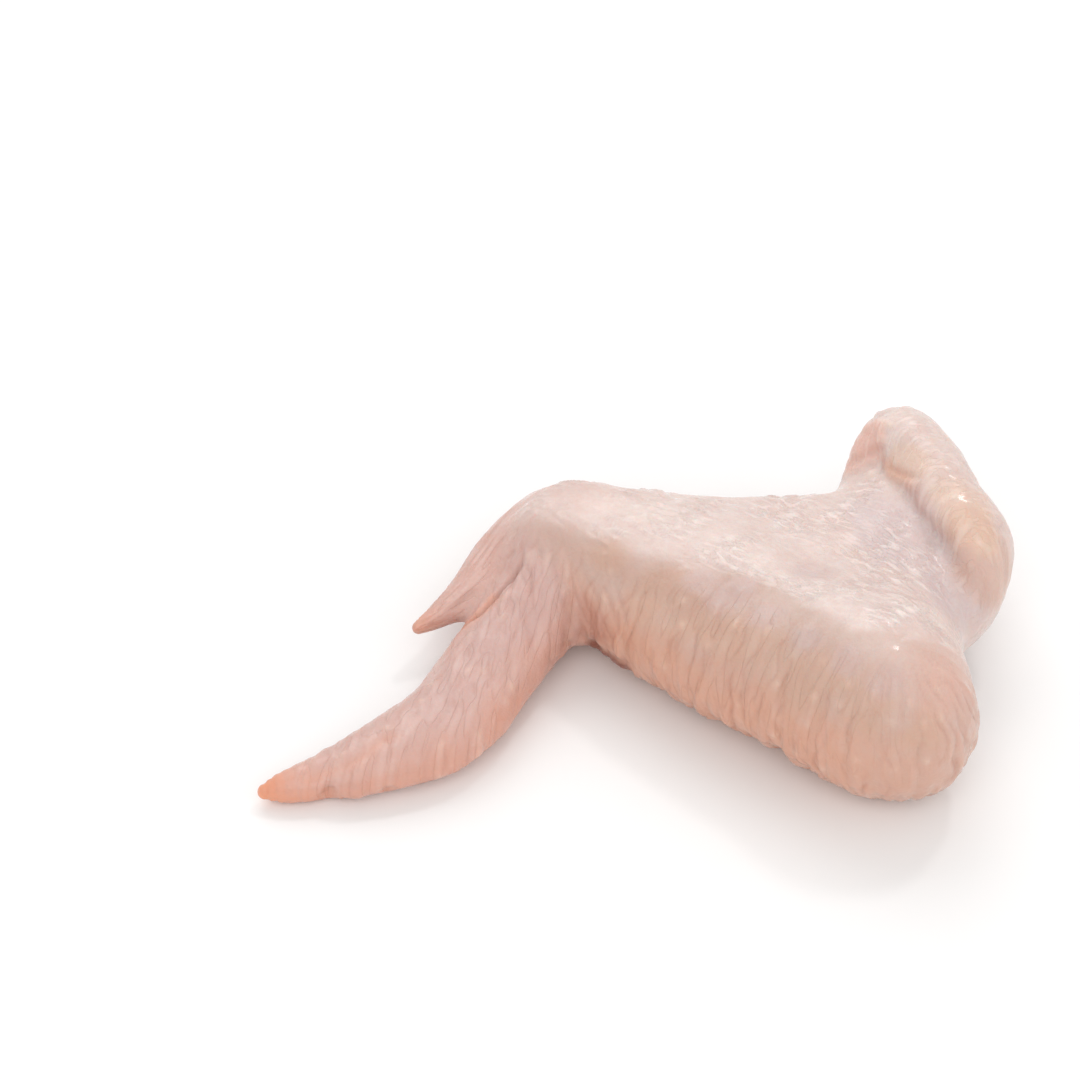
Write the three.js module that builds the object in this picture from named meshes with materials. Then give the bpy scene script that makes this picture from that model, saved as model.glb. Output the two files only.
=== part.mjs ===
// A whole raw chicken wing, skin side up: the wing tip with its small thumb, the forearm, the drumette, the
// web of skin stretched between them, and the rim of loose skin rolled round the drumette's cut end.
//
// Millimetres, +Z up. The wing lies on its underside on z = 0. The wing tip points towards -X, the elbow and
// the edge that carried the feathers face -Y, and the web's free edge faces +Y. The origin is under the
// middle of the whole wing.
//
// Every limb is an elliptical section carried along a curve. The skin is the level surface of all the limbs'
// distances, blended so that it stretches over the joints between them, and it is turned into triangles by
// placing one vertex in each cell of a grid that the surface passes through.
import * as THREE from 'three';

// ---- Driving dimensions ----
const FOREARM_LENGTH = 72;   // elbow joint to wrist joint
const DRUMETTE_LENGTH = 50;  // elbow joint to the shoulder joint
const CUT_LENGTH = 40;       // along the drumette's cut end, leading corner to trailing corner
const HAND_LENGTH = 80;      // wrist joint to the end of the wing tip, in a straight line
const THUMB_LENGTH = 30;     // root of the thumb to its end
const FOREARM_HEADING = 143; // degrees from +X, seen from above, elbow to wrist
const DRUMETTE_HEADING = 80; // elbow to shoulder
const CUT_HEADING = 297;     // leading corner to trailing corner
const HAND_HEADING = 221.5;  // wrist to tip
const THUMB_HEADING = 236;   // thumb's root to its end
const CELL = 2.3;            // size of the skin's facets

// ---- Joints, in plan, worked out from the lengths and headings ----
function plan(heading) {
  const angle = THREE.MathUtils.degToRad(heading);
  return new THREE.Vector2(Math.cos(angle), Math.sin(angle));
}
const elbow = new THREE.Vector2(47.5, 10);
const wrist = elbow.clone().addScaledVector(plan(FOREARM_HEADING), FOREARM_LENGTH);
const thumbRoot = wrist.clone().add(new THREE.Vector2(-10, 5));
const leadingCorner = elbow.clone().add(new THREE.Vector2(5, 65.5));

// A limb runs from `root` along `heading` for `length`. Each station says how far along it is, as a share of
// the length, how far it bows to the left of the limb's line, the height of the section's centre, and the
// section's half width and half height. A squareness above 2 makes the section boxier than an ellipse.
function limb({ root, heading, length, stations, blend, squareness = 2 }) {
  const along = plan(heading);
  const left = new THREE.Vector2(-along.y, along.x);
  const centres = stations.map(({ at, bow = 0, z }) => {
    const p = root.clone().addScaledVector(along, at * length).addScaledVector(left, bow);
    return new THREE.Vector3(p.x, p.y, z);
  });
  const girths = stations.map(({ wide, high }) => new THREE.Vector3(wide, high, 0));
  return {
    path: new THREE.CatmullRomCurve3(centres, false, 'catmullrom'),
    girths: new THREE.CatmullRomCurve3(girths, false, 'catmullrom'),
    blend,
    squareness,
  };
}

const limbs = {
  forearm: limb({
    root: elbow, heading: FOREARM_HEADING, length: FOREARM_LENGTH, blend: 5,
    stations: [
      { at: -0.06, bow: 0.8, z: 15.8, wide: 12.6, high: 15.2 },
      { at: 0.06, bow: 0.2, z: 16.2, wide: 16.6, high: 16.5 },
      { at: 0.28, z: 15, wide: 16.8, high: 15.5 },
      { at: 0.52, z: 13.5, wide: 17, high: 14 },
      { at: 0.76, z: 12.5, wide: 15.5, high: 12.5 },
      { at: 1.0, z: 12, wide: 12.5, high: 11.5 },
      { at: 1.06, z: 11.5, wide: 10, high: 9 },
    ],
  }),
  drumette: limb({
    root: elbow, heading: DRUMETTE_HEADING, length: DRUMETTE_LENGTH, blend: 10,
    stations: [
      { at: -0.04, bow: 2, z: 17, wide: 10, high: 15 },
      { at: 0.18, bow: 4, z: 16.5, wide: 13.5, high: 14 },
      { at: 0.42, bow: 2, z: 13.5, wide: 14, high: 12 },
      { at: 0.7, z: 11.5, wide: 14.6, high: 11 },
      { at: 1.0, z: 12.5, wide: 14, high: 12 },
    ],
  }),
  web: limb({
    root: wrist, heading: -10, length: 58, blend: 13, squareness: 2.4,
    stations: [
      { at: -0.02, bow: 4, z: 11.5, wide: 8, high: 7.5 },
      { at: 0.3, bow: 2.6, z: 15, wide: 12, high: 6.5 },
      { at: 0.55, bow: 0.8, z: 17.5, wide: 14.4, high: 6 },
      { at: 0.8, bow: 1.5, z: 18, wide: 15.6, high: 6 },
      { at: 1.0, bow: 7, z: 16.5, wide: 13, high: 6.5 },
    ],
  }),
  hand: limb({
    root: wrist, heading: HAND_HEADING, length: HAND_LENGTH, blend: 5,
    stations: [
      { at: -0.03, bow: -1, z: 11, wide: 12, high: 11 },
      { at: 0.16, bow: 3, z: 9, wide: 9.8, high: 9 },
      { at: 0.35, bow: 7.2, z: 7.2, wide: 9.6, high: 7.2 },
      { at: 0.55, bow: 12, z: 6, wide: 9.6, high: 6 },
      { at: 0.75, bow: 9, z: 4.9, wide: 7.2, high: 5 },
      { at: 0.9, bow: 3.6, z: 3.3, wide: 3.8, high: 3.6 },
      { at: 0.985, bow: 0.2, z: 2.9, wide: 1.7, high: 2.1 },
    ],
  }),
  thumb: limb({
    root: thumbRoot, heading: THUMB_HEADING, length: THUMB_LENGTH, blend: 4,
    stations: [
      { at: -0.2, bow: 0, z: 11, wide: 6.5, high: 6 },
      { at: 0.15, bow: -2.2, z: 10.5, wide: 6, high: 5 },
      { at: 0.5, bow: -2.4, z: 9.5, wide: 4.6, high: 3.8 },
      { at: 0.8, bow: -4.2, z: 8.8, wide: 2.5, high: 2.4 },
      { at: 0.97, bow: -5.8, z: 8.6, wide: 1.2, high: 1.3 },
    ],
  }),
  rim: limb({
    root: leadingCorner, heading: CUT_HEADING, length: CUT_LENGTH, blend: 3.5,
    stations: [
      { at: 0.16, bow: -13, z: 14.5, wide: 3, high: 3 },
      { at: 0.08, bow: -6.8, z: 19.5, wide: 5, high: 5 },
      { at: 0.05, bow: 0, z: 24.5, wide: 6.6, high: 6.6 },
      { at: 0.26, bow: 0.3, z: 25.5, wide: 7, high: 7 },
      { at: 0.55, bow: -1, z: 24.5, wide: 7, high: 7 },
      { at: 0.8, bow: -1, z: 21.5, wide: 7.2, high: 7.2 },
      { at: 0.96, bow: -7, z: 15, wide: 8, high: 8 },
    ],
  }),
};

// ---- The field: distance to a limb, and the blend of them all ----
const SEGMENTS = 24; // pieces that each limb's curve is cut into
const FAR = 16;      // distances are worked out up to this far from a limb

// The sections along a limb: centre, directions and girth, ready for measuring distances.
function sectionsOf({ path, girths }) {
  return Array.from({ length: SEGMENTS + 1 }, (_, i) => {
    const t = i / SEGMENTS;
    const along = path.getTangent(t);
    const side = new THREE.Vector3(-along.y, along.x, 0).normalize();
    const girth = girths.getPoint(t);
    const up = new THREE.Vector3().crossVectors(along, side);
    return { centre: path.getPoint(t), along, side, up, wide: girth.x, high: girth.y };
  });
}

// How far a point lies outside one stretch between two sections, measured along the ray from the nearest
// centre. Past the ends of the limb the same ellipse rounds it off.
function distanceToStretch(point, a, b, squareness) {
  const run = new THREE.Vector3().subVectors(b.centre, a.centre);
  const along = new THREE.Vector3().subVectors(point, a.centre).dot(run) / run.lengthSq();
  const t = THREE.MathUtils.clamp(along, 0, 1);
  const centre = new THREE.Vector3().lerpVectors(a.centre, b.centre, t);
  const offset = new THREE.Vector3().subVectors(point, centre);
  const mix = (name) => offset.dot(a[name]) * (1 - t) + offset.dot(b[name]) * t;
  const wide = THREE.MathUtils.lerp(a.wide, b.wide, t);
  const high = THREE.MathUtils.lerp(a.high, b.high, t);
  const share = (
    Math.abs(mix('side') / wide) ** squareness
    + Math.abs(mix('up') / high) ** squareness
    + Math.abs(mix('along') / Math.min(wide, high)) ** squareness
  ) ** (1 / squareness);
  const reach = offset.length();
  return share < 1e-3 ? -Math.min(wide, high) : reach * (1 - 1 / share);
}

function distanceToLimb(point, { sections, squareness, box }) {
  if (box.distanceToPoint(point) > FAR) return FAR;
  let nearest = FAR;
  for (let i = 0; i < SEGMENTS; i++) {
    nearest = Math.min(nearest, distanceToStretch(point, sections[i], sections[i + 1], squareness));
  }
  return nearest;
}

// The lower of two distances, rounded where they are within `radius` of each other, as skin bridges a hollow.
function softMin(a, b, radius) {
  const h = Math.max(radius - Math.abs(a - b), 0) / radius;
  return Math.min(a, b) - h * h * radius / 4;
}

// A box round a limb's sections, so that distances are only worked out near it.
function boxOf(sections) {
  const box = new THREE.Box3();
  for (const { centre, wide, high } of sections) {
    const girth = Math.max(wide, high);
    box.union(new THREE.Box3(centre.clone().subScalar(girth), centre.clone().addScalar(girth)));
  }
  return box;
}

const flesh = Object.values(limbs).map((made) => {
  const sections = sectionsOf(made);
  return { ...made, sections, box: boxOf(sections) };
});
function skin(point) {
  return flesh.reduce((depth, made) => softMin(depth, distanceToLimb(point, made), made.blend), 1e3);
}

// ---- From field to triangles ----
const LOW = new THREE.Vector3(-90, -20, -5); // the corners of the box that the skin is looked for in
const HIGH = new THREE.Vector3(85, 95, 50);

function everyCell(nx, ny, nz, first, visit) {
  for (let k = first; k < nz; k++) {
    for (let j = first; j < ny; j++) {
      for (let i = first; i < nx; i++) visit(i, j, k);
    }
  }
}

function stepsApart(a, b) {
  return a.reduce((sum, value, axis) => sum + Math.abs(value - b[axis]), 0);
}

// Samples the field on a grid, puts one vertex in each cell that the surface crosses, at the mean of the
// crossings on the cell's edges, and joins the four cells round each crossed edge by two triangles.
function surfaceOf(field, low, high, cell) {
  const size = high.clone().sub(low).divideScalar(cell).ceil().addScalar(1);
  const [nx, ny, nz] = size.toArray();
  const id = (i, j, k) => (k * ny + j) * nx + i;
  const at = (i, j, k) => new THREE.Vector3(i, j, k).multiplyScalar(cell).add(low);
  const value = new Float32Array(nx * ny * nz);
  everyCell(nx, ny, nz, 0, (i, j, k) => {
    value[id(i, j, k)] = field(at(i, j, k));
  });

  const corners = Array.from({ length: 8 }, (_, c) => [c & 1, (c >> 1) & 1, c >> 2]);
  const edges = corners.flatMap((a, m) => (
    corners.slice(m + 1).filter((b) => stepsApart(a, b) === 1).map((b) => [a, b])));
  const vertexOf = new Map();
  const positions = [];
  everyCell(nx - 1, ny - 1, nz - 1, 0, (i, j, k) => {
    const mean = new THREE.Vector3();
    let crossings = 0;
    for (const [a, b] of edges) {
      const va = value[id(i + a[0], j + a[1], k + a[2])];
      const vb = value[id(i + b[0], j + b[1], k + b[2])];
      if ((va < 0) === (vb < 0)) continue;
      mean.add(at(i + a[0], j + a[1], k + a[2]).lerp(at(i + b[0], j + b[1], k + b[2]), va / (va - vb)));
      crossings++;
    }
    if (!crossings) return;
    vertexOf.set(id(i, j, k), positions.length / 3);
    positions.push(...mean.divideScalar(crossings).toArray());
  });

  const indices = [];
  const steps = [[1, 0, 0], [0, 1, 0], [0, 0, 1]];
  everyCell(nx - 1, ny - 1, nz - 1, 1, (i, j, k) => {
    steps.forEach((step, axis) => {
      const inside = value[id(i, j, k)] < 0;
      if (inside === value[id(i + step[0], j + step[1], k + step[2])] < 0) return;
      const u = steps[(axis + 1) % 3];
      const v = steps[(axis + 2) % 3];
      const ring = [[0, 0], [1, 0], [1, 1], [0, 1]].map(([s, t]) => vertexOf.get(
        id(i - s * u[0] - t * v[0], j - s * u[1] - t * v[1], k - s * u[2] - t * v[2])));
      if (!inside) ring.reverse();
      indices.push(ring[0], ring[1], ring[2], ring[0], ring[2], ring[3]);
    });
  });
  const made = new THREE.BufferGeometry();
  made.setAttribute('position', new THREE.Float32BufferAttribute(positions, 3));
  made.setIndex(indices);
  return made;
}

// ---- The wing ----
const skinGeometry = surfaceOf(skin, LOW, HIGH, CELL);

// Presses the underside flat where it meets the table, and moves the origin under the middle.
const place = skinGeometry.attributes.position;
for (let i = 0; i < place.count; i++) place.setZ(i, Math.max(place.getZ(i), 0));
skinGeometry.computeBoundingBox();
const middle = skinGeometry.boundingBox.getCenter(new THREE.Vector3());
skinGeometry.translate(-middle.x, -middle.y, 0);
skinGeometry.computeVertexNormals();

const skinMaterial = new THREE.MeshStandardMaterial({ color: 0xe6c3b3, roughness: 0.45, metalness: 0 });
const wing = new THREE.Mesh(skinGeometry, skinMaterial);
wing.name = 'wing_skin';

const chickenWing = new THREE.Group();
chickenWing.add(wing);

export default chickenWing;
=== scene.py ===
# A whole raw chicken wing, lying on its underside on a pale floor. One piece of skin covers everything: the
# wing tip with its small thumb, the forearm, the drumette, the web between them and the rolled rim.
import math
from collections import namedtuple

import bpy
import numpy as np
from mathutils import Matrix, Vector


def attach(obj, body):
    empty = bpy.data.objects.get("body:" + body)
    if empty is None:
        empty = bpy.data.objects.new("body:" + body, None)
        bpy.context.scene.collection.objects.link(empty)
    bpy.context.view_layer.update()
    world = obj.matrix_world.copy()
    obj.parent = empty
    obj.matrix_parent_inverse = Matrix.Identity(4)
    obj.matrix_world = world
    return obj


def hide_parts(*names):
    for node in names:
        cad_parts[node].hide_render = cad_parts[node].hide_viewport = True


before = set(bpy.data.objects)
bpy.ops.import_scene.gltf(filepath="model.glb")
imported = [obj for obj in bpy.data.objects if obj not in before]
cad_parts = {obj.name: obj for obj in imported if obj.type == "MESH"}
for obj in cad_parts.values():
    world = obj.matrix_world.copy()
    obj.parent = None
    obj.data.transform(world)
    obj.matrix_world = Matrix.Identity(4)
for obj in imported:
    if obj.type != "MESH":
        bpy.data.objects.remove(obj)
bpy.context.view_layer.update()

# ---- Camera, light and floor, in metres and watts ----
LOOKS_FROM = (-0.019, -0.3975, 0.4305)
LOOKS_AT = (-0.019, 0.0105, 0.0225)
WING_MIDDLE = (0, 0, 0.01)
FLOOR = 3.0  # from the middle of the floor to its edge
SCENE = bpy.context.scene
SCENE.view_settings.view_transform = "Standard"


def aimed(obj, place, target):
    """Stands an object at `place` and turns its -Z axis towards `target`."""
    obj.location = place
    obj.rotation_euler = (Vector(target) - Vector(place)).to_track_quat("-Z", "Y").to_euler()
    SCENE.collection.objects.link(obj)
    return obj


lens = bpy.data.cameras.new("photo_view")
lens.lens = 100
lens.sensor_width = 36
lens.sensor_fit = "HORIZONTAL"
SCENE.camera = aimed(bpy.data.objects.new("photo_view", lens), LOOKS_FROM, LOOKS_AT)


def softbox(name, place, size, power):
    """A square white area light, `size` along each side, that looks at the wing from `place`."""
    light = bpy.data.lights.new(name, "AREA")
    light.shape = "SQUARE"
    light.size = size
    light.energy = power
    aimed(bpy.data.objects.new(name, light), place, WING_MIDDLE)


softbox("back_softbox", (-0.2, 0.85, 0.95), 0.9, 4.5)
softbox("front_fill", (-0.2, -0.9, 1.0), 1.2, 5)
softbox("glint", (0.35, 0.55, 0.9), 0.12, 1.2)
softbox("side_fill", (1.1, -0.5, 0.5), 0.9, 2)

world = bpy.data.worlds.new("studio")
SCENE.world = world
world.use_nodes = True
backdrop = world.node_tree.nodes["Background"]
backdrop.inputs["Color"].default_value = (1.0, 0.99, 0.98, 1)
backdrop.inputs["Strength"].default_value = 0.72

floor_mesh = bpy.data.meshes.new("floor")
floor_mesh.from_pydata(
    [(-FLOOR, -FLOOR, 0), (FLOOR, -FLOOR, 0), (FLOOR, FLOOR, 0), (-FLOOR, FLOOR, 0)], [], [(0, 1, 2, 3)])
floor = bpy.data.objects.new("floor", floor_mesh)
SCENE.collection.objects.link(floor)
floor_paint = bpy.data.materials.new("pale_floor")
floor_paint.use_nodes = True
matt = floor_paint.node_tree.nodes["Principled BSDF"]
matt.inputs["Base Color"].default_value = (0.92, 0.92, 0.92, 1)
matt.inputs["Roughness"].default_value = 0.9
matt.inputs["Specular IOR Level"].default_value = 0.1
floor_mesh.materials.append(floor_paint)

# ---- The limbs under the skin, in millimetres ----
# The same curves and sections as the solid's. A limb runs from its root, in degrees from +X. Each station of
# it is: share of the length, bow to the left of the limb's line, height of the section's centre, half width,
# half height. Its blend is the width over which it runs into the limbs before it, and its sections are ovals
# of that squareness, where 2 is an ellipse.
ELBOW = np.array([47.5, 10.0])
FOREARM_HEADING = 143
FOREARM_LENGTH = 72


def plan(heading):
    """The direction of a heading in degrees from +X, seen from above."""
    return np.array([math.cos(math.radians(heading)), math.sin(math.radians(heading))])


WRIST = ELBOW + plan(FOREARM_HEADING) * FOREARM_LENGTH
LIMBS = {
    "forearm": dict(root=ELBOW, heading=FOREARM_HEADING, length=FOREARM_LENGTH, blend=5, squareness=2,
                    stations=[
        (-0.06, 0.8, 15.8, 12.6, 15.2), (0.06, 0.2, 16.2, 16.6, 16.5), (0.28, 0, 15, 16.8, 15.5),
        (0.52, 0, 13.5, 17, 14), (0.76, 0, 12.5, 15.5, 12.5), (1.0, 0, 12, 12.5, 11.5),
        (1.06, 0, 11.5, 10, 9)]),
    "drumette": dict(root=ELBOW, heading=80, length=50, blend=10, squareness=2, stations=[
        (-0.04, 2, 17, 10, 15), (0.18, 4, 16.5, 13.5, 14), (0.42, 2, 13.5, 14, 12), (0.7, 0, 11.5, 14.6, 11),
        (1.0, 0, 12.5, 14, 12)]),
    "web": dict(root=WRIST, heading=-10, length=58, blend=13, squareness=2.4, stations=[
        (-0.02, 4, 11.5, 8, 7.5), (0.3, 2.6, 15, 12, 6.5), (0.55, 0.8, 17.5, 14.4, 6),
        (0.8, 1.5, 18, 15.6, 6), (1.0, 7, 16.5, 13, 6.5)]),
    "hand": dict(root=WRIST, heading=221.5, length=80, blend=5, squareness=2, stations=[
        (-0.03, -1, 11, 12, 11), (0.16, 3, 9, 9.8, 9), (0.35, 7.2, 7.2, 9.6, 7.2), (0.55, 12, 6, 9.6, 6),
        (0.75, 9, 4.9, 7.2, 5), (0.9, 3.6, 3.3, 3.8, 3.6), (0.985, 0.2, 2.9, 1.7, 2.1)]),
    "thumb": dict(root=WRIST + (-10, 5), heading=236, length=30, blend=4, squareness=2, stations=[
        (-0.2, 0, 11, 6.5, 6), (0.15, -2.2, 10.5, 6, 5), (0.5, -2.4, 9.5, 4.6, 3.8),
        (0.8, -4.2, 8.8, 2.5, 2.4), (0.97, -5.8, 8.6, 1.2, 1.3)]),
    "rim": dict(root=ELBOW + (5, 65.5), heading=297, length=40, blend=3.5, squareness=2, stations=[
        (0.16, -13, 14.5, 3, 3), (0.08, -6.8, 19.5, 5, 5), (0.05, 0, 24.5, 6.6, 6.6), (0.26, 0.3, 25.5, 7, 7),
        (0.55, -1, 24.5, 7, 7), (0.8, -1, 21.5, 7.2, 7.2), (0.96, -7, 15, 8, 8)]),
}
STRETCHES = 24   # pieces that each limb's curve is cut into
FAR = 16.0       # distances are worked out up to this far from a limb
NOWHERE = 1e3    # a distance past any that matters
NUDGE = 1e-4     # half the step, as a share of a limb's length, that its direction is read over
LEAST_SHARE = 1e-3  # below this share of a section's reach, a point counts as its centre


def along_curve(points, share):
    """A smooth curve through `points`, evenly spaced in `share` from 0 to 1. Between two points it is the
    cubic whose slopes at both are half the step between their neighbours."""
    last = len(points) - 1
    padded = np.vstack([2 * points[0] - points[1], points, 2 * points[-1] - points[-2]])
    place = np.clip(share, 0, 1) * last
    step = np.minimum(place.astype(int), last - 1)
    w = (place - step)[:, None]
    before, start, end, after = (padded[step + k] for k in range(4))
    leave, arrive = (end - before) / 2, (after - start) / 2
    return (start + leave * w + (3 * (end - start) - 2 * leave - arrive) * w**2
            + (2 * (start - end) + leave + arrive) * w**3)


def unit(vectors):
    """Each row divided by its length."""
    return vectors / np.linalg.norm(vectors, axis=-1, keepdims=True)


def sections(root, heading, length, stations, **_):
    """Centres, directions and half sizes of a limb's sections: its stations put in place, then joined by the
    smooth curve. The side direction is level, to the left of the limb's run, and up is square to both."""
    at, bow, z, wide, high = np.array(stations, float).T
    line, left = plan(heading), plan(heading + 90)
    spine = np.column_stack([root + np.outer(at * length, line) + np.outer(bow, left), z])
    share = np.linspace(0, 1, STRETCHES + 1)
    run = unit(along_curve(spine, share + NUDGE) - along_curve(spine, share - NUDGE))
    side = unit(np.column_stack([-run[:, 1], run[:, 0], np.zeros(len(run))]))
    girth = along_curve(np.column_stack([wide, high]), share)
    return along_curve(spine, share), run, side, np.cross(run, side), girth[:, 0], girth[:, 1]


def measure(points, limb):
    """For each point: how far it lies outside a limb, how far along the limb its nearest section is (0 to 1),
    and its offsets to the side and up from that section's centre. The distance is measured along the ray
    from the centre: the ray's length times one minus one over `share`, which is how many times the section's
    reach the ray is long."""
    centre, run, side, up, wide, high = sections(**limb)
    power = limb["squareness"]
    out = np.full(len(points), FAR)
    place, aside, above = np.zeros(len(points)), np.zeros(len(points)), np.zeros(len(points))
    girth = np.maximum(wide, high)[:, None]
    low, top = (centre - girth).min(0) - FAR, (centre + girth).max(0) + FAR
    near = np.flatnonzero(np.all((points > low) & (points < top), axis=1))
    p = points[near]
    for i in range(STRETCHES):
        step = centre[i + 1] - centre[i]
        t = np.clip((p - centre[i]) @ step / (step @ step), 0, 1)
        offset = p - centre[i] - t[:, None] * step
        s, u, r = ((offset @ axis[i]) * (1 - t) + (offset @ axis[i + 1]) * t for axis in (side, up, run))
        w, h = wide[i] + t * (wide[i + 1] - wide[i]), high[i] + t * (high[i + 1] - high[i])
        least = np.minimum(w, h)
        share = (np.abs(s / w)**power + np.abs(u / h)**power + np.abs(r / least)**power) ** (1 / power)
        gap = np.where(share < LEAST_SHARE, -least,
                       np.linalg.norm(offset, axis=1) * (1 - 1 / np.maximum(share, LEAST_SHARE)))
        closer = gap < out[near]
        hit = near[closer]
        out[hit], place[hit] = gap[closer], (i + t[closer]) / STRETCHES
        aside[hit], above[hit] = s[closer], u[closer]
    return out, place, aside, above


def soft_min(a, b, radius):
    """The lower of two distances, lowered a little more where they are within `radius` of each other."""
    h = np.maximum(radius - np.abs(a - b), 0) / radius
    return np.minimum(a, b) - h * h * radius / 4


def skin_depth(points):
    """Distance outside the skin: every limb's distance, blended in turn."""
    depth = np.full(len(points), NOWHERE)
    for limb in LIMBS.values():
        depth = soft_min(depth, measure(points, limb)[0], limb["blend"])
    return depth


# ---- From the field to a mesh ----
CELL = 0.53   # millimetres between the points that the field is worked out at
COARSE = 4    # cells along each side of a block whose middle is only roughly worked out
BAND = 1.8    # how near the skin the rough values are replaced by exact ones
LOW = np.array([-88.0, -18.0, -3.0])   # the corners of the box that the wing lies in
HIGH = np.array([74.0, 92.0, 40.0])


def between(values, axis, parts):
    """The same values with `parts` - 1 evenly graded ones put between each two along an axis."""
    share = np.arange((values.shape[axis] - 1) * parts + 1) / parts
    low = np.minimum(share.astype(int), values.shape[axis] - 2)
    w = (share - low).reshape([-1 if k == axis else 1 for k in range(3)])
    return np.take(values, low, axis) * (1 - w) + np.take(values, low + 1, axis) * w


def sampled_field():
    """The field on a fine grid: exact near the skin, and graded from a coarse grid elsewhere."""
    count = np.ceil((HIGH - LOW) / (CELL * COARSE)).astype(int) + 1
    axes = [LOW[k] + np.arange(count[k]) * CELL * COARSE for k in range(3)]
    rough = skin_depth(np.stack(np.meshgrid(*axes, indexing="ij"), -1).reshape(-1, 3)).reshape(count)
    fine = between(between(between(rough, 0, COARSE), 1, COARSE), 2, COARSE)
    close = np.argwhere(np.abs(fine) < BAND)
    fine[tuple(close.T)] = skin_depth(LOW + close * CELL)
    return fine


def net(values):
    """A closed mesh through a field's zero level: one vertex in each cell that the level crosses, at the mean
    of the crossings on the cell's edges, and one four-sided face round each crossed edge."""
    inside = values < 0
    cells = np.array(values.shape) - 1
    hits, total = np.zeros(cells), np.zeros((*cells, 3))
    crossed = []
    for axis in range(3):
        lower = tuple(slice(0, -1) if k == axis else slice(None) for k in range(3))
        upper = tuple(slice(1, None) if k == axis else slice(None) for k in range(3))
        at = np.argwhere(inside[lower] != inside[upper])
        crossed.append(at)
        va, vb = values[lower][tuple(at.T)], values[upper][tuple(at.T)]
        point = at.astype(float)
        point[:, axis] += va / (va - vb)
        p, q = (axis + 1) % 3, (axis + 2) % 3
        for back_p in (0, 1):
            for back_q in (0, 1):
                cell = at.copy()
                cell[:, p] -= back_p
                cell[:, q] -= back_q
                np.add.at(hits, tuple(cell.T), 1)
                np.add.at(total, tuple(cell.T), point)
    used = np.argwhere(hits > 0)
    number = np.full(cells, -1)
    number[tuple(used.T)] = np.arange(len(used))
    places = LOW + total[tuple(used.T)] / hits[tuple(used.T)][:, None] * CELL
    faces = []
    for axis, at in enumerate(crossed):
        p, q = (axis + 1) % 3, (axis + 2) % 3
        ring = []
        for back_p, back_q in ((0, 0), (1, 0), (1, 1), (0, 1)):
            cell = at.copy()
            cell[:, p] -= back_p
            cell[:, q] -= back_q
            ring.append(number[tuple(cell.T)])
        ring = np.column_stack(ring)
        out = inside[tuple(at.T)]
        faces.append(np.where(out[:, None], ring, ring[:, ::-1]))
    return places, np.vstack(faces)


def read_grid(grid, points):
    """A grid's values at any points, graded evenly between the eight nearest grid points."""
    place = (points - LOW) / CELL
    cell = np.floor(place).astype(int)
    part = place - cell
    total = 0
    for corner in np.ndindex(2, 2, 2):
        share = np.prod(np.where(corner, part, 1 - part), axis=1)
        total = total + share[:, None] * grid[tuple((cell + corner).T)]
    return total


def settled(points, values):
    """Points moved onto the skin along the field's slope, twice, and the directions straight out of it."""
    slope = np.stack(np.gradient(values, CELL), -1)
    for _ in range(2):
        steep = read_grid(slope, points)
        points = points - steep * (skin_depth(points) / (steep**2).sum(1))[:, None]
    return points, unit(read_grid(slope, points))


values = sampled_field()
places, faces = net(values)
places, outward = settled(places, values)

# ---- Where each point of the skin lies on the limbs ----
BORDER = 1.2  # millimetres over which the skin of one limb gives way to the next one's
Limb = namedtuple("Limb", "gap run turn share")


def traced(points):
    """For each limb, how far off each point is, its distance along the limb in millimetres, and the angle
    round the limb: 0 on its left side, a quarter turn on top. Also how much the point belongs to each limb,
    which falls off with how much nearer another limb is."""
    found = {}
    for name, limb in LIMBS.items():
        gap, at, aside, above = measure(points, limb)
        found[name] = (gap, at * limb["length"], np.arctan2(above, aside))
    nearest = np.min([gap for gap, _, _ in found.values()], axis=0)
    pull = {name: np.exp((nearest - gap) / BORDER) for name, (gap, _, _) in found.items()}
    whole = sum(pull.values())
    return {name: Limb(*found[name], pull[name] / whole) for name in found}


forearm, drumette, web, hand, thumb, rim = traced(places).values()
places[:, 2] = np.maximum(places[:, 2], 0)
middle = (places.min(0) + places.max(0)) / 2
places[:, :2] -= middle[:2]
x, y, z = places.T


# ---- Patterns over the skin ----
LATTICE = 32       # whole-number points before the slopes that `swell` draws come round again
SLOPE = 1.7        # how steep each of those slopes is
OFF_POINTS = 0.41  # keeps whole numbers off the lattice's points
LEVEL = 0.37       # where the third axis stands if only two are given
DRAWN = 64         # cells before the lines and dots that are drawn come round again


def ease(value, start, end):
    """0 up to `start`, 1 past `end`, and a smooth S between them."""
    t = np.clip((value - start) / (end - start), 0, 1)
    return t * t * (3 - 2 * t)


def swell(seed, *axes):
    """Smooth ups and downs between about -1 and 1, a unit or so wide, over two or three axes: a slope is
    drawn for each whole-number point, and between the points their slopes' rises are eased into each other."""
    slopes = np.random.default_rng(seed).normal(size=(LATTICE, LATTICE, LATTICE, 3))
    slopes *= SLOPE / np.linalg.norm(slopes, axis=-1, keepdims=True)
    place = np.column_stack(axes if len(axes) == 3 else (*axes, np.full(len(axes[0]), LEVEL))) + OFF_POINTS
    cell = np.floor(place).astype(int)
    part = place - cell
    eased = part**3 * (part * (part * 6 - 15) + 10)
    total = np.zeros(len(place))
    for corner in np.ndindex(2, 2, 2):
        slope = slopes[tuple(((cell + corner) % LATTICE).T)]
        total += np.prod(np.where(corner, eased, 1 - eased), axis=1) * ((part - corner) * slope).sum(1)
    return total


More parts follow.
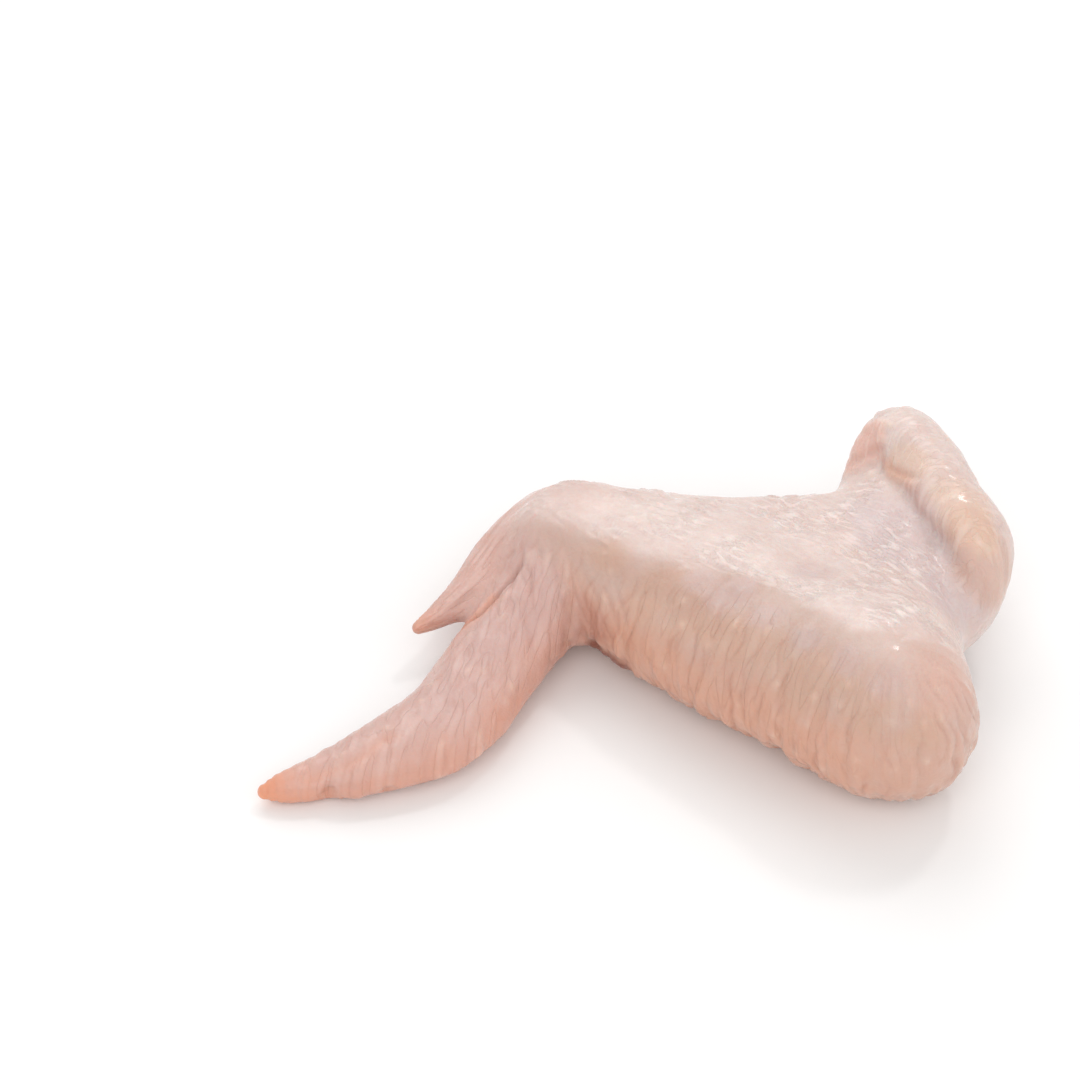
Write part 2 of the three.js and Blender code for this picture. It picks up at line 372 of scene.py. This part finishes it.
def strokes(seed, across, along, pitch, reach, width, kept=0.85, lean=0.5):
    """Thin tapering lines, from 0 to 1, one to each cell of a grid that is `pitch` across and `reach` along.
    Each is a bell across its own line, which leans and waves a little, and fades towards its two ends."""
    rng = np.random.default_rng(seed)
    aside, ahead, tilt, phase, long, strong = rng.uniform(-1, 1, (6, DRAWN, DRAWN))
    strong = np.where(rng.random((DRAWN, DRAWN)) < kept, 0.7 + 0.3 * strong, 0)
    best = np.zeros(len(across))
    cell_a, cell_b = np.floor(across / pitch).astype(int), np.floor(along / reach).astype(int)
    for da, db in np.ndindex(5, 3):
        i, j = cell_a + da - 2, cell_b + db - 1
        k, m = i % DRAWN, j % DRAWN
        ahead_of = along - (j + 0.5 + 0.4 * ahead[k, m]) * reach
        half = reach * (0.62 + 0.3 * long[k, m])
        wave = 0.16 * pitch * np.sin(ahead_of / reach * 7 + 3 * phase[k, m])
        far = (across - (i + 0.5 + 0.4 * aside[k, m]) * pitch
               - lean * tilt[k, m] * pitch * ahead_of / reach - wave)
        fade = np.clip(1 - (ahead_of / half) ** 2, 0, 1)
        best = np.maximum(best, strong[k, m] * fade * np.exp(-(far / (width * (0.55 + 0.45 * fade))) ** 2))
    return best


def dots(seed, u, v, pitch_u, pitch_v, radius, kept):
    """Small round bumps, from 0 to 1, one to each cell of a grid in u and v, each drawn a little off its
    cell's middle, with a share of them kept. Each is a bell of the distance to the dot."""
    rng = np.random.default_rng(seed)
    off_u, off_v = rng.uniform(-0.28, 0.28, (2, DRAWN, DRAWN))
    size = np.where(rng.random((DRAWN, DRAWN)) < kept, rng.uniform(0.6, 1.0, (DRAWN, DRAWN)), 0)
    best = np.zeros(len(u))
    cell_u, cell_v = np.floor(u / pitch_u).astype(int), np.floor(v / pitch_v).astype(int)
    for du, dv in np.ndindex(3, 3):
        i, j = cell_u + du - 1, cell_v + dv - 1
        k, m = i % DRAWN, j % DRAWN
        far = np.hypot(u - (i + 0.5 + off_u[k, m]) * pitch_u, v - (j + 0.5 + off_v[k, m]) * pitch_v)
        best = np.maximum(best, size[k, m] * np.exp(-(far / radius) ** 2))
    return best


def beside(path, points):
    """Distance from each point to a path of straight legs, and how far along the path, 0 to 1: the nearest
    foot of a perpendicular on any leg, held between the leg's ends."""
    path = np.array(path, float)
    legs = np.linalg.norm(np.diff(path, axis=0), axis=1)
    start = np.concatenate([[0], np.cumsum(legs)])
    best, at = np.full(len(points), NOWHERE), np.zeros(len(points))
    for i, leg in enumerate(legs):
        step = path[i + 1] - path[i]
        t = np.clip((points - path[i]) @ step / leg**2, 0, 1)
        far = np.linalg.norm(points - path[i] - t[:, None] * step, axis=1)
        closer = far < best
        best[closer], at[closer] = far[closer], ((start[i] + t * leg) / start[-1])[closer]
    return best, at


def bells(points, radius, *centres):
    """A soft patch round some centres, from 0 to 1: one minus the product of one minus each centre's bell."""
    left = np.ones(len(points))
    for centre in centres:
        left *= 1 - np.exp(-((points - centre) ** 2).sum(1) / radius**2)
    return 1 - left


def crease(points, width, *path):
    """A crease along a path, from 0 to 1: a bell of the distance from it, fading at both ends."""
    far, at = beside(path, points)
    return np.exp(-(far / width) ** 2) * ease(at, -0.02, 0.18) * (1 - ease(at, 0.82, 1.02))


# ---- Coordinates that the patterns run along, in millimetres ----
# `around` runs along the forearm and on round the elbow's end, where it is below 0, and `tilt` is the angle
# above the forearm's middle, in radians.
ROUND = 13.0         # millimetres of skin to each radian round the forearm, near enough
ROUND_END = 16       # the same round the elbow's end
ELBOW_HEIGHT = 15.9
elbow_x, elbow_y = ELBOW - middle[:2]
ahead, outer = (((x - elbow_x) * line[0] + (y - elbow_y) * line[1])
                for line in (plan(FOREARM_HEADING), plan(FOREARM_HEADING + 90)))
around = np.where(ahead > 0, ahead, -np.arctan2(-ahead, outer) * ROUND_END)
tilt = np.where(ahead > 0, forearm.turn, np.arctan2(z - ELBOW_HEIGHT, np.hypot(ahead, outer)))
u, v = around + 0.10 * -tilt * ROUND, -tilt * ROUND

# ---- Flank and elbow: upright folds with rows of pores, down to a scalloped edge ----
CREST_AROUND = (-12, 0, 6, 9, 15, 18, 27, 30, 36, 39, 45, 51, 57)
CREST_TILT = (1.6, 1.7, 1.5, 1.42, 1.53, 1.54, 1.72, 1.74, 1.64, 1.55, 1.42, 1.32, 1.18)
crest = np.interp(around, CREST_AROUND, CREST_TILT) - tilt  # how far below the ridge between top and flank
web_flank = web.share * (1 - ease(np.abs(tilt), 1.9, 2.3)) * (1 - ease(forearm.gap, 2, 5))
behind_elbow = ease(np.arctan2(-ahead, outer), 1.9, 3.0) * (ahead < 0)
facing = np.clip(forearm.share + web_flank, 0, 1) * (1 - behind_elbow)
soft_edge = 0.14 + 0.16 * ease(around, 34, 50)
side = facing * ease((crest + 0.08 * swell(13, around / 6, tilt * 3)) / soft_edge, -1, 1)
flank = facing * ease(crest, 0, 0.55) * (1 - ease(-tilt, 1.6, 2.2))
low_down = ease(-tilt, -1.1, -0.1)
flank_lines = strokes(11, u, v, 3.3, 8.0, 0.40, 0.8, 0.3)
flank_fine = strokes(12, u, v, 1.9, 4.5, 0.30, 0.5, 0.4)
flank_pillow = swell(14, u / 2.0, v / 9)
flank_dots = dots(17, u, v, 6.0, 5.2, 0.7, kept=0.55)
SCALLOP = 4.6  # millimetres from one notch of the edge to the next
wobble = forearm.run + 1.1 * swell(19, forearm.run / 6, 0 * u)
notches = np.exp(-(((wobble / SCALLOP) % 1 - 0.5) * SCALLOP / 0.7) ** 2)
edge = (forearm.share * np.exp(-((forearm.turn + 0.75) / 0.3) ** 2)
        * ease(forearm.run, 8, 20) * (1 - ease(forearm.run, 62, 70)))

# ---- Wrist: folds that slant into the corner between hand and forearm ----
wrist = bells(places, 7.5, (-14.5, -1, 15.4), (-9, -2, 16.4), (-13.5, -2.5, 11), (-19, 2.5, 17))
wrist_across, wrist_along = x + 0.5 * z, y - z
wrist_folds = strokes(57, wrist_across, wrist_along, 2.5, 7.0, 0.55, 0.9, 0.5)
wrist_pillow = swell(58, wrist_across / 2.0, wrist_along / 6)

# ---- Hand: near-upright lines across it ----
hand_across, hand_along = x - 0.22 * y, y - 0.5 * z
hand_on = hand.share * ease(hand.run, 2, 12) * (1 - 0.85 * ease(hand.run, 60, 72))
hand_lines = np.maximum(strokes(23, hand_across, hand_along, 2.4, 6.5, 0.38, 0.8, 0.4),
                        0.6 * strokes(24, hand_across, hand_along, 1.5, 4.0, 0.30, 0.5, 0.4))
hand_pillow = swell(26, hand_across / 1.9, hand_along / 8)
hand_dots = dots(29, hand_across, hand_along, 5.6, 4.8, 0.7, kept=0.45)

# ---- Thumb: lines along it ----
THUMB_ROUND = 5.0  # millimetres of skin to each radian round the thumb
thumb_across = thumb.turn * THUMB_ROUND
thumb_lines = strokes(31, thumb_across, thumb.run, 1.8, 8.0, 0.34, 0.7, 0.3)

# ---- Web: slanting wisps ----
web_along, web_across = (x * line[0] + y * line[1] for line in (plan(-38), plan(52)))
web_bend = web_across + 0.9 * swell(36, x / 12, y / 12) + 0.35 * swell(39, x / 4, y / 4)
web_wisps = np.exp(-(swell(37, web_bend / 1.8, web_along / 6) / 0.17) ** 2)
web_patch = ease(swell(38, x / 9, y / 9), -0.35, 0.35)
on_top = ease(outward[:, 2], 0.35, 0.8)
webbed = (web.share + drumette.share + forearm.share) * on_top * (1 - side)

# ---- Rim and drumette: fine level wrinkles, soft lines down the sides ----
rim_across = (y - z) * 0.8
rim_lines = strokes(41, rim_across, x, 1.8, 5.0, 0.36, 0.7)
rim_dots = dots(44, rim.run, -rim.turn * 7, 4.6, 4.2, 0.8, kept=0.5)
drum_across = x + 0.5 * y
drum_lines = strokes(47, drum_across, z * 1.3 + 0.5 * y, 2.8, 8.0, 0.42, 0.7)

# ---- Creases and folds, each along its own path ----
VALLEY = ((46.2, 31.9, 26.1), (48.2, 28.9, 26.2), (50.2, 24.1, 27.3), (52.2, 21, 28.4), (53.5, 18.3, 28.6),
          (54.8, 14.6, 27.7), (57.5, 11.4, 27.8), (59.6, 8.6, 27.4), (61.3, 5.8, 26.7), (62.6, 2.9, 25.6),
          (64.2, 0, 23.6), (65.4, -2.3, 21.3))
valley = crease(places, 3.0, *VALLEY)
valley_floor = crease(places, 1.2, *VALLEY[1:8])
valley_low = crease(places, 3.2, (55.5, 14.5, 28), (57.5, 12, 28.3), (61, 7.1, 27.3), (63.7, 1.5, 24.8),
                    (65.6, -0.6, 22.6), (67, -4, 18))
rim_lip = crease(places, 0.8, (48.6, 26.8, 26.6), (49.6, 25.6, 27), (50.9, 23.3, 27.9), (52.2, 21.5, 28.7),
                 (53.6, 20.3, 29.6), (55, 19.4, 30.3))
rim_fill = crease(places, 2.0, (48, 38, 29.5), (47.8, 36, 29.4), (47.7, 34.1, 29), (47.5, 32.6, 28.2),
                  (47.3, 31.2, 27.2))
web_corner = bells(places, 6, (69, -4, 13))
flap = crease(places, 0.9, (41.5, 32.3, 21.2), (43.3, 31.8, 23.5), (45.1, 31.7, 25), (47, 31.1, 26.3),
              (48, 29.5, 26.4))
thumb_fold = crease(places, 0.65, (-36, -2.5, 7), (-33.2, -1.1, 11.5), (-31.1, 0, 13.1), (-28.6, 1.9, 14.5),
                    (-25.7, 5.4, 15.9), (-23.5, 7.6, 17.6), (-22, 9.2, 19))
thumb_seam = np.maximum(
    crease(places, 0.55, (-27.6, 8.6, 14.2), (-26.8, 9.8, 14.9), (-25.8, 11.3, 16), (-24, 13, 18)),
    crease(places, 0.5, (-38.3, 2.6, 10.2), (-35.5, 3.9, 10.8), (-33.9, 5, 11.6), (-31, 7, 12.8)))
hand_groove = crease(places, 1.4, (-64.2, -36.5, 5.5), (-61.6, -36, 6.5), (-59.4, -35.6, 7), (-56, -34.5, 8),
                     (-53.8, -33.7, 8.8), (-50.5, -32.1, 9.5), (-48.7, -30.1, 10.1), (-44, -28, 10.8))
hand_notch = (bells(places, 1.5, (-58.7, -38.2, 2.6), (-58.2, -37.4, 4.4))
              + 0.5 * bells(places, 1.4, (-47.2, -36.6, 3.4)))
under_lip = crease(places, 1.3, (-10.4, -1.6, 6.6), (-8.8, -2.4, 6.6), (-7.2, -3.4, 6.6), (-5.6, -5, 6.8),
                   (-4.1, -6.8, 7), (-2.5, -8.3, 7.2), (-0.8, -9.9, 7.6))
under_gap = crease(places, 0.8, (-10.4, -2, 8.3), (-8.8, -2.7, 8.4), (-7.3, -4, 8.5), (-5.6, -5.3, 8.8),
                   (-4.1, -7.3, 9.1), (-2.5, -8.8, 9.6), (-1, -10.2, 10))

# ---- Cut end: a ring of folds round a shallow hollow that shows the meat ----
CUT_X, CUT_Z = 55, 10.5  # the middle of the hollow
cut_far = np.hypot((x - CUT_X) * 0.85, z - CUT_Z)
cut_face = drumette.share * ease(outward[:, 1], 0.35, 0.75) * ease(y, 20, 26)
cut_angle = np.arctan2(z - CUT_Z, x - CUT_X)
cut_edge = (cut_far + 0.9 * swell(81, 2 * np.cos(cut_angle), 2 * np.sin(cut_angle))
            + 0.35 * swell(82, x / 2, z / 2))
meat = cut_face * (1 - ease(cut_edge, 4.4, 5.4))
cut_ring = cut_face * np.exp(-((cut_edge - 6) / 1.1) ** 2)
cut_folds = cut_face * ease(cut_far, 6, 8) * strokes(83, cut_angle * 9, cut_far, 3.2, 9.0, 0.6, 0.85, 0.3)
knuckle = meat * np.exp(-(np.hypot(x - 54.4, z - 11) / 2.3) ** 2)

# ---- Relief: how far each point moves straight out of the skin, in millimetres ----
broad = 0.30 * swell(51, x / 9, y / 9, z / 9) + 0.16 * swell(52, x / 4.2, y / 4.2, z / 4.2)
flank_on = flank * (1 - 0.6 * wrist)
relief = (
    broad * (1 - 0.5 * thumb.share) * (1 - 0.7 * hand.share * ease(hand.run, 56, 70))
    + flank_on * (0.75 + 0.75 * low_down) * (0.34 * flank_pillow - 0.30 * flank_lines - 0.10 * flank_fine)
    + flank_on * 0.30 * flank_dots
    + wrist * (0.26 * wrist_pillow - 0.55 * wrist_folds)
    + edge * (0.5 - 1.8 * notches)
    + hand_on * (0.20 * hand_pillow - 0.16 * hand_lines + 0.20 * hand_dots)
    - thumb.share * 0.20 * thumb_lines
    + webbed * 0.42 * web_wisps * web_patch
    + rim.share * (0.20 * rim_dots - 0.16 * rim_lines)
    - drumette.share * (1 - on_top) * 0.2 * drum_lines
    + 0.9 * valley + 1.0 * valley_low + 0.3 * valley_floor - 0.6 * rim_lip - 0.6 * flap
    - 1.0 * thumb_fold - 0.4 * thumb_seam - 1.3 * web_corner + 0.8 * rim_fill
    - 0.5 * hand.share * ease(hand.run, 73, 81) - 0.6 * hand_groove - 1.6 * hand_notch
    + 0.5 * under_lip - 0.9 * under_gap
    - 1.3 * meat + 0.25 * meat * swell(84, x / 1.1, z / 1.1) + 1.2 * knuckle
    + 0.7 * cut_ring - 0.5 * cut_folds
)
# painted shade: how dark the wrinkle lines, thumb seams and tip notch are painted, standing for the shade in
# these creases
crease_shade_lines = np.clip(
    flank * (0.8 + 0.8 * low_down) * np.maximum(flank_lines, 0.6 * flank_fine) + wrist * wrist_folds
    + hand_on * hand_lines + thumb.share * thumb_lines * 0.7 + rim.share * rim_lines * 0.3
    + thumb_seam + 0.4 * hand_notch, 0, 1)
pores = np.clip(flank * flank_dots + hand_on * hand_dots + rim.share * rim_dots, 0, 1)

places = places + outward * relief[:, None]
places[:, 2] = np.maximum(places[:, 2], 0)

# ---- Colours over the skin, as masks ----
mottle = swell(61, x / 8, y / 8, z / 8)
fine_mottle = swell(62, x / 3, y / 3, z / 3)
ragged = 0.22 * mottle + 0.12 * fine_mottle


def patch(radius, *centres):
    """A patch of colour with a ragged border: soft bells, moved up and down by the mottling."""
    return ease(bells(places, radius, *centres) + ragged, 0.25, 0.95)


masks = {
    # painted highlight: a pale band along the crest and the rim's top, standing for the back light's sheen
    "crest_sheen_paint": patch(5.4, (2.2, 15.3, 25.4), (9.2, 12.6, 25.8), (15.2, 4.3, 27.3), (22.4, -0.9, 28),
                   (27.6, -8.3, 29.5), (34.4, -14.8, 32.2), (40, -23.2, 34.3), (51.6, 36.1, 31.6),
                   (49.6, 34.1, 30.7), (53.9, -15.9, 28.6), (-7.4, 18.9, 25.1), (0.3, 17.6, 24.9)),
    "side": side,
    "rosy": (facing * ease(-tilt + ragged, -1.1, 0.0) * (1 - ease(-tilt, 2.0, 2.8))
             * (0.35 + 0.65 * ease(around + 14 * ragged, -30, 6))),
    "hand_skin": np.clip(hand.share + thumb.share, 0, 1),
    "hand_rosy": (hand.share * ease(-hand.turn + ragged, -1.2, 0.2) * (1 - ease(np.abs(hand.turn), 1.8, 2.8))
                  + 0.2 * thumb.share),
    "ochre": patch(5.6, (5.3, -3.7, 25.5), (1.7, -6.2, 23.3), (12.2, -14.2, 25.4), (19, -19.7, 26.4),
                   (23.5, -23.8, 27), (32.1, -30, 29.8), (40.6, -38, 28.8), (-6, 4.7, 24),
                   (9, -10.6, 25.1), (28.3, -31.2, 25.6), (50.2, -41, 24.5), (38.5, -35.5, 30.4)),
    # painted shade: the top-facing part of the flank band is darkened where the lights fall strongly on it
    "upper_side_shade": side * ease(outward[:, 2], 0.75, 0.95) * ease(around, 24, 36),
    "lilac": patch(3.8, (10.9, -4.3, 27), (14.9, -9.5, 27.5), (18.9, -8.1, 28.4), (22.7, -15.7, 29.1),
                   (29.9, -23.1, 30.8), (43.2, -35, 32), (36.2, -29.8, 32.4), (30.8, -3, 28.1),
                   (33.3, -4.1, 28.3)),
    "dusky": patch(5.5, (-23, 12, 19), (-19.8, 3.4, 17.9), (-21.5, -1.7, 16.1), (-24, -3.4, 15.6),
                   (-27.8, -3.6, 15), (-35, -19.2, 12.4), (-39.6, -21, 11.6), (-30.4, -10.3, 13.8)),
    # the grey-lilac tint of thin skin near the rim, and painted shade along the valley under the rim
    "grey_and_valley_shade": np.maximum(patch(6.0, (45.8, 10.4, 25.6), (47.5, 3.8, 25.7), (51.8, 6.7, 25.2), (59.7, 0.5, 23.7),
                             (61.6, -4.1, 21.1), (58.9, -4, 21.8), (50.1, 12.6, 25.8),
                             (44.6, 15.7, 25.5), (55.5, 7, 24.6)),
                       0.7 * ease(valley + ragged, 0.2, 0.9)),
    "shade": ease(crease(places, 2.2, *VALLEY) + 0.6 * ragged, 0.2, 1.0),
    # painted highlight: the raised wisps on the web are painted paler, standing for their wet glints
    "wisp_highlight": webbed * web_wisps * web_patch,
    "fold_shade": patch(4.0, (-11.5, -1.8, 15.6), (-10, -3.8, 11.5), (-8, -5.2, 14.5), (-13, -2.6, 12)),
    "blush": bells(places, 8, (54, -33, 29.5)),
    "peach": patch(4.5, (44.1, 34.2, 25.3), (46, 34.5, 27.4), (42.3, 33.3, 22.1)),
    "tan": patch(5.5, (64.5, 3, 25.5), (62.6, 8, 28.4), (66.5, -1, 22), (67.5, 1.5, 23)),
    "straw": patch(4.5, (61.2, 12.4, 30), (63, 9.6, 29), (59.6, 15.8, 30.8), (64.6, 5.6, 27.4),
                   (53.5, 22.4, 30.3), (50.9, 25.7, 29.3)),
    # orange of the wing tip, the thumb's end, its fold and the hand's groove, with painted shade under the
    # rim's lip along the valley's upper end
    "orange_and_lip_shade": np.clip(
        hand.share * ease(hand.run + 10 * ragged, 58, 84)
        + 0.5 * thumb.share * ease(thumb.run + 5 * ragged, 20, 31)
        + 0.3 * hand_groove + 0.25 * crease(places, 1.4, *VALLEY[:5])
        + 0.65 * crease(places, 2.0, (-36, -2.5, 7), (-33.2, -1.1, 11.5), (-30, 1, 14), (-27, 4, 15.6)),
        0, 1),
    "meat": np.clip(meat - knuckle, 0, 1),
    "gristle": knuckle,
    "fat": np.clip(cut_ring * (0.6 + 0.8 * mottle), 0, 1),
    "pore": pores,
    # painted shade in the creases
    "line": crease_shade_lines,
    "mottle": np.clip(0.5 + 0.35 * mottle + 0.25 * fine_mottle, 0, 1),
    # painted shadow: the shaded underside showing below the flank's lower edge, and shade in the thumb's fold,
    # as dark red-brown
    "underside_and_fold_shadow": np.clip(1.8 * under_lip + 0.9 * under_gap + 0.5 * thumb_fold, 0, 1),
}

# ---- Where the finest wrinkles run ----
# Each course: strength over the skin, coordinates across and along its wrinkles, how wide and how long they
# are in millimetres, how much painted shade goes into them, and how much they stand up as streaks painted
# pale as a highlight. Each point takes its strongest course, and is plain where two courses are as strong.
Course = namedtuple("Course", "strength across along width length dark streak")
APART = 7.3  # steps in the noise between one course and the next
COURSES = (
    Course(flank * (1 - 0.5 * wrist) * (0.35 + 0.65 * ease(around, -14, 8)), u, v, 2.7, 11.0, 0.6, 0.15),
    Course(np.clip(hand_on + wrist, 0, 1), hand_across, hand_along, 2.2, 8.0, 0.35, 0.25),
    Course(thumb.share, thumb_across, thumb.run, 1.6, 10.0, 0.5, 0.3),
    Course(webbed * (0.3 + 0.7 * web_patch) * (0.6 + 0.4 * ease(x, 0, 30)) * (1 - ease(ahead, 52, 68)),
           web_bend, web_along, 1.1, 3.6, 0.0, 1.0),
    Course(0.8 * rim.share, rim_across, x, 0.8, 2.6, 0.0, 0.5),
)
strength = np.array([row.strength for row in COURSES])
strongest = strength.argmax(0)
ranked = np.sort(strength, axis=0)
broken = ease(swell(71, x / 5, y / 5, z / 5) + 0.5 * swell(72, x / 2, y / 2, z / 2), -0.25, 0.45)
masks["wrinkle"] = ranked[-1] * ease(ranked[-1] - ranked[-2], 0.05, 0.4)
# painted shade in the finest wrinkles; the streak mask below also carries a painted highlight
masks["wrinkle_shade"] = masks["wrinkle"] * np.choose(strongest, [row.dark for row in COURSES]) * broken
masks["streak"] = masks["wrinkle"] * np.choose(strongest, [row.streak for row in COURSES])
course = np.column_stack([
    np.choose(strongest, [row.across / row.width for row in COURSES]),
    np.choose(strongest, [row.along / row.length for row in COURSES]),
    APART * strongest,
])

# ---- The wing itself ----
MILLIMETRE = 0.001
mesh = bpy.data.meshes.new("wing")
mesh.from_pydata((places * MILLIMETRE).tolist(), [], faces.tolist())
mesh.polygons.foreach_set("use_smooth", np.ones(len(faces), bool))
for name, amount in masks.items():
    mesh.attributes.new(name, "FLOAT", "POINT").data.foreach_set("value", amount.astype(np.float32))
course_data = mesh.attributes.new("course", "FLOAT_VECTOR", "POINT").data
course_data.foreach_set("vector", course.astype(np.float32).ravel())
wing = bpy.data.objects.new("wing", mesh)
SCENE.collection.objects.link(wing)


# ---- Skin material ----
def srgb(r, g, b):
    """A colour given as 0 to 255 screen values, as the linear values that shaders take."""
    return tuple(((c / 255 + 0.055) / 1.055) ** 2.4 for c in (r, g, b)) + (1.0,)


skin = bpy.data.materials.new("raw_skin")
skin.use_nodes = True
nodes, links = skin.node_tree.nodes, skin.node_tree.links
shader = nodes["Principled BSDF"]
shader.inputs["Subsurface Weight"].default_value = 0.25
shader.inputs["Subsurface Radius"].default_value = (1.0, 0.4, 0.25)
shader.inputs["Subsurface Scale"].default_value = 0.0016
shader.inputs["IOR"].default_value = 1.42
shader.inputs["Coat Roughness"].default_value = 0.12
shader.inputs["Coat IOR"].default_value = 1.33


def node(kind, **settings):
    """A new node of the skin's material, with its settings."""
    made = nodes.new(kind)
    for name, value in settings.items():
        setattr(made, name, value)
    return made


def put(target, value):
    """Links an output into a socket, or sets the socket's number or colour."""
    if isinstance(value, bpy.types.NodeSocket):
        links.new(value, target)
    else:
        target.default_value = value


def attribute(name):
    """One of the masks over the skin."""
    return node("ShaderNodeAttribute", attribute_name=name).outputs["Fac"]


def mixed(amount, first, second):
    """The colour `first` where the amount is 0 and `second` where it is 1."""
    made = node("ShaderNodeMix", data_type="RGBA")
    put(made.inputs[0], amount)
    put(made.inputs[6], first)
    put(made.inputs[7], second)
    return made.outputs[2]


def maths(operation, *values):
    """One step of arithmetic on numbers or outputs."""
    made = node("ShaderNodeMath", operation=operation)
    for socket, value in zip(made.inputs, values):
        put(socket, value)
    return made.outputs[0]


def stretched(value, from_low, from_high, low, high):
    """`low` where the value is at `from_low`, `high` where it is at `from_high`, and even steps between."""
    made = node("ShaderNodeMapRange")
    for socket, number in zip(made.inputs, (value, from_low, from_high, low, high)):
        put(socket, number)
    return made.outputs[0]


spot = node("ShaderNodeTexCoord").outputs["Object"]


def noise(scale, detail=2.0, roughness=0.5, warp=0.0):
    """Noise on the object's own coordinates; `scale` is in cells to the metre."""
    made = node("ShaderNodeTexNoise")
    put(made.inputs["Vector"], spot)
    put(made.inputs["Scale"], scale)
    put(made.inputs["Detail"], detail)
    put(made.inputs["Roughness"], roughness)
    put(made.inputs["Distortion"], warp)
    return made.outputs["Fac"]


wrinkle_noise = node("ShaderNodeTexNoise")
put(wrinkle_noise.inputs["Vector"], node("ShaderNodeAttribute", attribute_name="course").outputs["Vector"])
put(wrinkle_noise.inputs["Scale"], 1.0)
put(wrinkle_noise.inputs["Detail"], 1.0)
# A wrinkle is drawn wherever the noise is near its middle value, a streak where it is well above, and a
# trough where it is well below. The wrinkle and the trough are painted darker as their shade, and the streak
# paler as its highlight.
HALFWAY = 0.5
wave = wrinkle_noise.outputs["Fac"]
streak = maths("MULTIPLY", stretched(wave, HALFWAY, 0.72, 0.0, 1.0), attribute("streak"))
trough = maths("MULTIPLY", stretched(wave, HALFWAY, 0.3, 0.0, 1.0), attribute("streak"))
wrinkle = stretched(maths("ABSOLUTE", maths("SUBTRACT", wave, HALFWAY)), 0.0, 0.03, 1.0, 0.0)

# Each mask's tint is laid over the ones before it: the mask, how strongly, and the colour.
TINTS = (
    # painted highlight on the web's wisps
    ("wisp_highlight", 0.45, (234, 222, 218)),
    # painted highlight: the sheen along the crest
    ("crest_sheen_paint", 0.65, (230, 214, 207)),
    ("side", 0.90, (198, 171, 159)),
    ("rosy", 0.90, (214, 160, 134)),
    ("ochre", 0.65, (204, 166, 144)),
    # painted shade on the flank band's top-facing part
    ("upper_side_shade", 0.60, (186, 150, 134)),
    ("lilac", 0.55, (202, 178, 174)),
    ("hand_skin", 0.80, (205, 164, 154)),
    ("hand_rosy", 0.85, (214, 156, 134)),
    ("dusky", 0.45, (196, 162, 156)),
    ("fold_shade", 0.62, (186, 134, 118)),
    # grey tint of thin skin, with painted shade in the valley
    ("grey_and_valley_shade", 0.75, (208, 191, 190)),
    ("shade", 0.70, (198, 160, 150)),
    ("blush", 0.45, (232, 180, 162)),
    ("peach", 0.65, (232, 180, 163)),
    ("tan", 0.60, (206, 166, 146)),
    ("straw", 0.50, (224, 190, 164)),
    # orange tips and folds, with painted shade under the rim's lip
    ("orange_and_lip_shade", 0.85, (234, 152, 110)),
    ("fat", 0.70, (232, 208, 172)),
    ("meat", 0.95, (196, 112, 100)),
    ("gristle", 0.85, (226, 212, 204)),
    ("pore", 0.35, (236, 208, 188)),
    # painted shade in the wrinkle lines
    ("line", 0.26, (180, 116, 96)),
    # painted shadow of the underside and the thumb's fold
    ("underside_and_fold_shadow", 0.92, (122, 62, 46)),
)
colour = mixed(attribute("mottle"), srgb(217, 194, 186), srgb(224, 208, 202))
for name, amount, tint in TINTS:
    colour = mixed(maths("MULTIPLY", attribute(name), amount), colour, srgb(*tint))
colour = mixed(stretched(noise(900, 3.0, 0.6), 0.35, 0.65, 0.0, 0.16), colour, srgb(206, 156, 140))
wrinkle_shading = maths("MULTIPLY", wrinkle, attribute("wrinkle_shade"))
# painted shade in the wrinkles
colour = mixed(maths("MULTIPLY", wrinkle_shading, 0.34), colour, srgb(168, 112, 94))
# painted shade in the troughs
colour = mixed(maths("MULTIPLY", trough, 0.4), colour, srgb(196, 168, 164))
# painted highlight on the raised streaks
colour = mixed(maths("MULTIPLY", streak, 0.45), colour, srgb(244, 232, 227))
put(shader.inputs["Base Color"], colour)
put(shader.inputs["Roughness"], stretched(noise(420, 2.0), 0.35, 0.65, 0.34, 0.52))
put(shader.inputs["Coat Weight"], stretched(noise(260, 3.0, 0.6, 0.6), 0.42, 0.62, 0.1, 0.8))

bump = node("ShaderNodeBump")
put(bump.inputs["Strength"], 0.5)
put(bump.inputs["Distance"], 0.0004)
grain = maths("ADD", maths("MULTIPLY", noise(1300, 2.0, 0.5), 0.6), maths("MULTIPLY", streak, 0.75))
sunk = maths("MULTIPLY", maths("MULTIPLY", wrinkle, attribute("wrinkle")), 0.4)
put(bump.inputs["Height"], maths("SUBTRACT", grain, sunk))
put(shader.inputs["Normal"], bump.outputs["Normal"])

mesh.materials.append(skin)
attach(wing, "root")
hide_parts("wing_skin")
